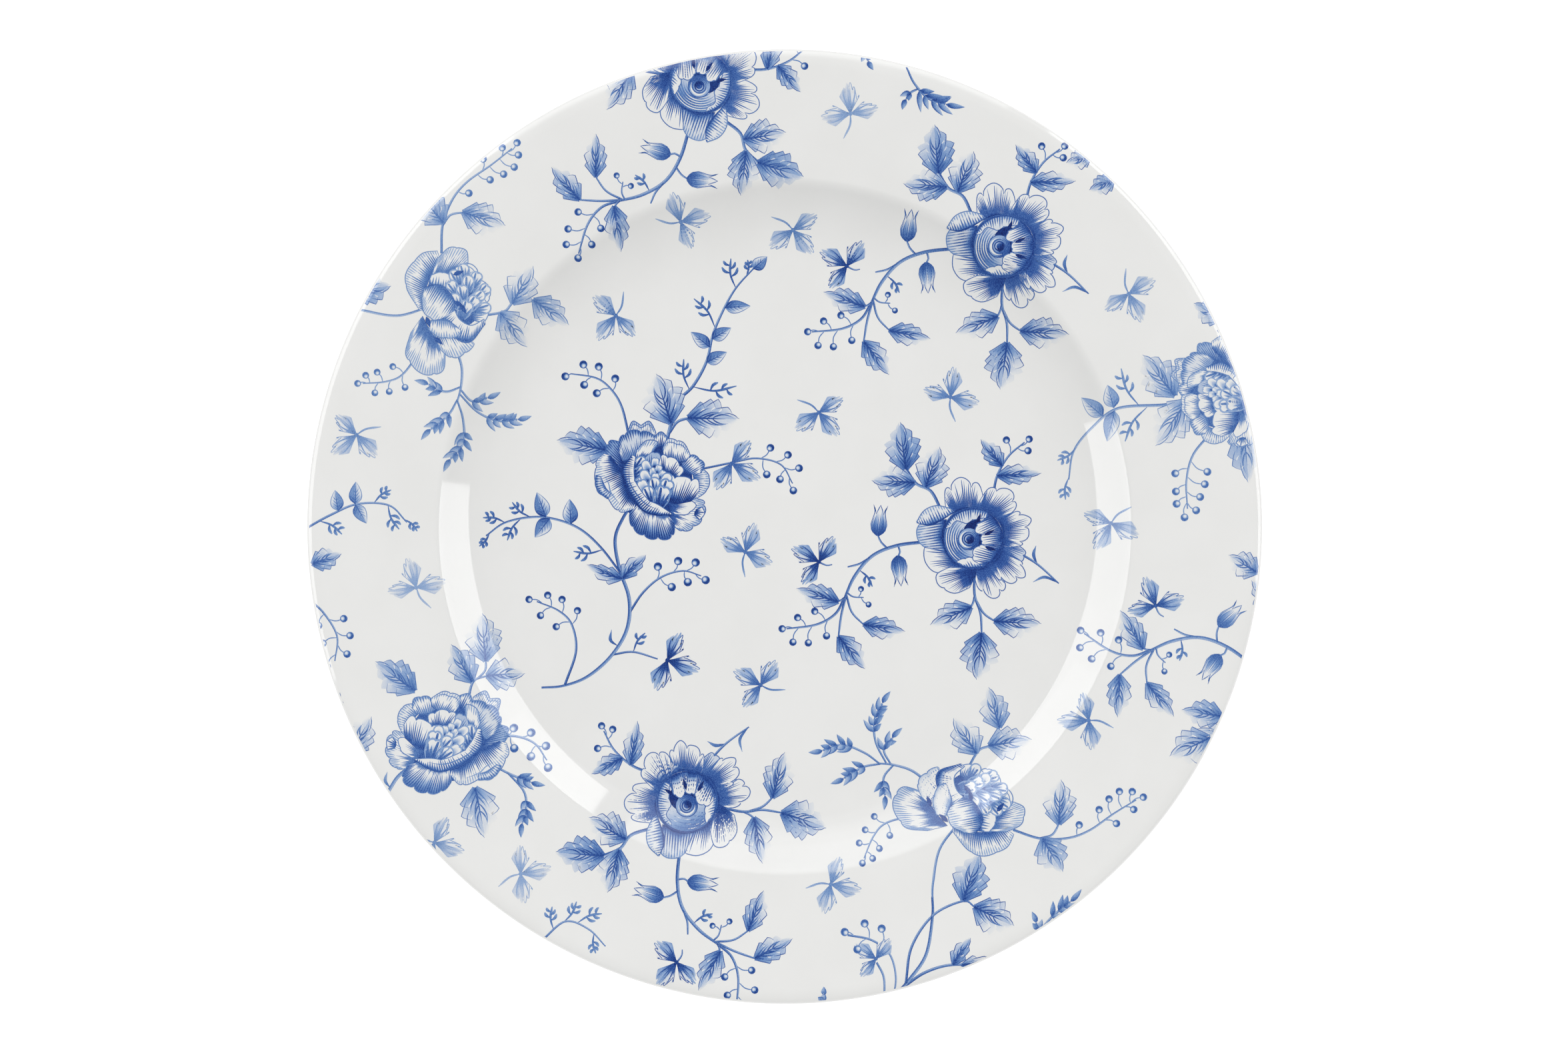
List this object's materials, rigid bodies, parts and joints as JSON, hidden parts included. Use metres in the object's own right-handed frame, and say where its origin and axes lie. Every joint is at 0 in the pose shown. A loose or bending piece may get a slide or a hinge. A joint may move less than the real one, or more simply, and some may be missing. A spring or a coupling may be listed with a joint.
{
  "type": "china dinner plate",
  "caption": "Round rimmed china dinner plate with a flat well, a hollow shoulder, a broad gently rising rim and a raised foot ring.",
  "frame": {"origin": "centre of the foot ring's standing face, on the plate's axis", "axes": "+Z along the plate's axis, from the foot ring up through the well; +X and +Y in the plane of the table"},
  "size_m": [0.27, 0.27, 0.0231],
  "materials": {
    "fired_clay": "unglazed fired clay, fine and matt",
    "glaze": "clear glossy glaze over white clay",
    "printed_flowers": "cobalt blue floral print under the clear glaze, used by the visual model's printed films"
  },
  "bodies": {
    "root": {"clay_body": "fired_clay", "face_glaze": "glaze", "base_glaze": "glaze"}
  },
  "joints": []
}
